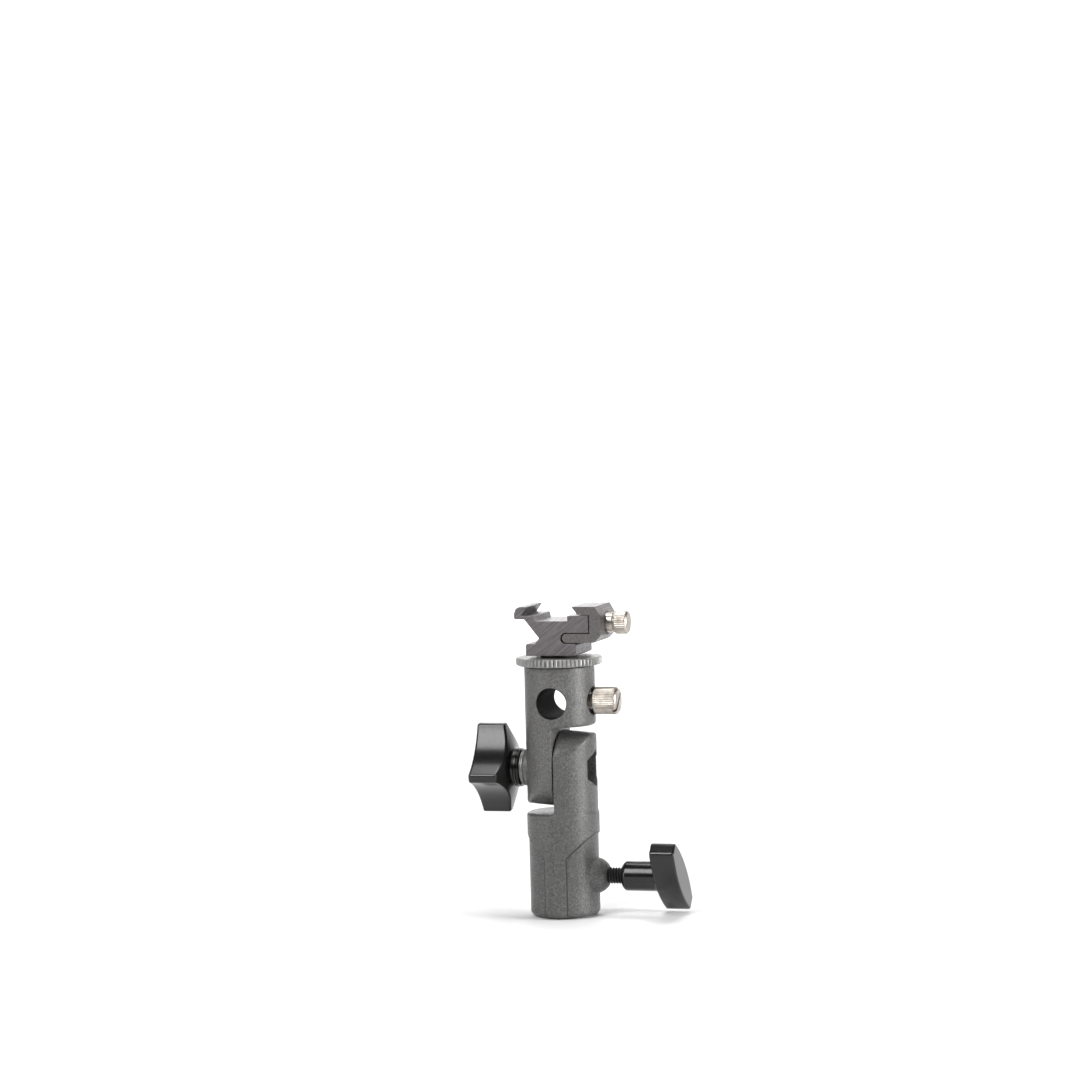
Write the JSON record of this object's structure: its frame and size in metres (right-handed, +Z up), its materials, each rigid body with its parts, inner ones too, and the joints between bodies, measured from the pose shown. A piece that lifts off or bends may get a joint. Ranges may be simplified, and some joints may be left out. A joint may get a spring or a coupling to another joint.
{
  "type": "umbrella swivel bracket",
  "caption": "Tilting light-stand bracket: a spigot socket with a T-handle screw, a clamped tilt joint, a cross hole for an umbrella shaft and a clamping accessory shoe.",
  "frame": {"origin": "centre of the stand socket's mouth, at the lower end of the lower casting", "axes": "+Z up along the socket and the body, +X along the tilt axis towards the stand locking handle and the shoe's jaw, -Y the front"},
  "size_m": [0.0735, 0.0324, 0.11],
  "materials": {
    "cast_lower": "granular dark grey powder coat on a zinc casting",
    "cast_upper": "granular dark grey powder coat on a zinc casting",
    "steel_black": "blackened steel",
    "steel_plain": "zinc-plated steel",
    "plastic_black": "glossy black plastic",
    "washer_black": "matt black",
    "nickel": "nickel-plated",
    "anodised": "grey anodised aluminium",
    "ring_grey": "grey anodised aluminium, knurled"
  },
  "bodies": {
    "stand_part": {"lower_body": "cast_lower", "tilt_bolt": "steel_black", "friction_disc": "steel_black", "tilt_washer": "steel_black"},
    "stand_screw": {"stand_lock_screw": "steel_plain"},
    "stand_handle": {"stand_lock_handle": "plastic_black", "stand_handle_insert": "steel_plain"},
    "head": {"upper_body": "cast_upper", "shoe_stud": "steel_plain"},
    "knob_washer": {"tilt_spring_washer": "steel_black"},
    "knob": {"tilt_knob": "plastic_black", "tilt_knob_insert": "steel_plain", "tilt_knob_cap": "plastic_black"},
    "umbrella_screw": {"umbrella_lock_screw": "nickel"},
    "umbrella_knob": {"umbrella_lock_knob": "nickel"},
    "ring_carrier": {"ring_washer": "washer_black"},
    "ring": {"lock_ring": "ring_grey"},
    "shoe": {"shoe_base": "anodised"},
    "jaw": {"clamp_jaw": "anodised", "jaw_screw": "nickel"},
    "jaw_turn": {"jaw_knob": "nickel"}
  },
  "joints": [
    {"name": "head_tilt", "type": "hinge", "parent": "stand_part", "child": "head", "pos_m": [0, 0, 0.052], "axis": [1, 0, 0], "range_deg": [-95, 95]},
    {"name": "stand_screw_travel", "type": "slide", "parent": "stand_part", "child": "stand_screw", "axis": [1, 0, 0], "range_m": [-0.001, 0.004]},
    {"name": "stand_handle_turn", "type": "hinge", "parent": "stand_screw", "child": "stand_handle", "pos_m": [0.03, 0, 0.0138], "axis": [1, 0, 0], "range_deg": [-361, 1441]},
    {"name": "tilt_knob_travel", "type": "slide", "parent": "stand_part", "child": "knob_washer", "axis": [-1, 0, 0], "range_m": [0, 0.002]},
    {"name": "tilt_knob_turn", "type": "hinge", "parent": "knob_washer", "child": "knob", "pos_m": [-0.022, 0, 0.052], "axis": [-1, 0, 0], "range_deg": [-1, 721]},
    {"name": "umbrella_screw_travel", "type": "slide", "parent": "head", "child": "umbrella_screw", "axis": [1, 0, 0], "range_m": [-0.00255, 0.002]},
    {"name": "umbrella_knob_turn", "type": "hinge", "parent": "umbrella_screw", "child": "umbrella_knob", "pos_m": [0.017, 0, 0.076], "axis": [1, 0, 0], "range_deg": [-919, 721]},
    {"name": "ring_travel", "type": "slide", "parent": "head", "child": "ring_carrier", "axis": [0, 0, 1], "range_m": [-0.0003, 0]},
    {"name": "ring_turn", "type": "hinge", "parent": "ring_carrier", "child": "ring", "pos_m": [0, 0, 0.09], "axis": [0, 0, 1], "range_deg": [-86, 1]},
    {"name": "shoe_swivel", "type": "hinge", "parent": "head", "child": "shoe", "pos_m": [0, 0, 0.0927], "axis": [0, 0, 1], "range_deg": [-180, 180]},
    {"name": "jaw_travel", "type": "slide", "parent": "shoe", "child": "jaw", "axis": [1, 0, 0], "range_m": [-0.0003, 0.0025]},
    {"name": "jaw_knob_turn", "type": "hinge", "parent": "jaw", "child": "jaw_turn", "pos_m": [0.022, 0, 0.1037], "axis": [1, 0, 0], "range_deg": [-155, 1287]}
  ],
  "couplings": [
    {"joint": "stand_handle_turn", "follows": "stand_screw_travel", "rad_per_m": 6283.2},
    {"joint": "tilt_knob_turn", "follows": "tilt_knob_travel", "rad_per_m": 6283.2},
    {"joint": "umbrella_knob_turn", "follows": "umbrella_screw_travel", "rad_per_m": 6283.2},
    {"joint": "ring_turn", "follows": "ring_travel", "rad_per_m": 4947.4},
    {"joint": "jaw_knob_turn", "follows": "jaw_travel", "rad_per_m": 8976}
  ]
}
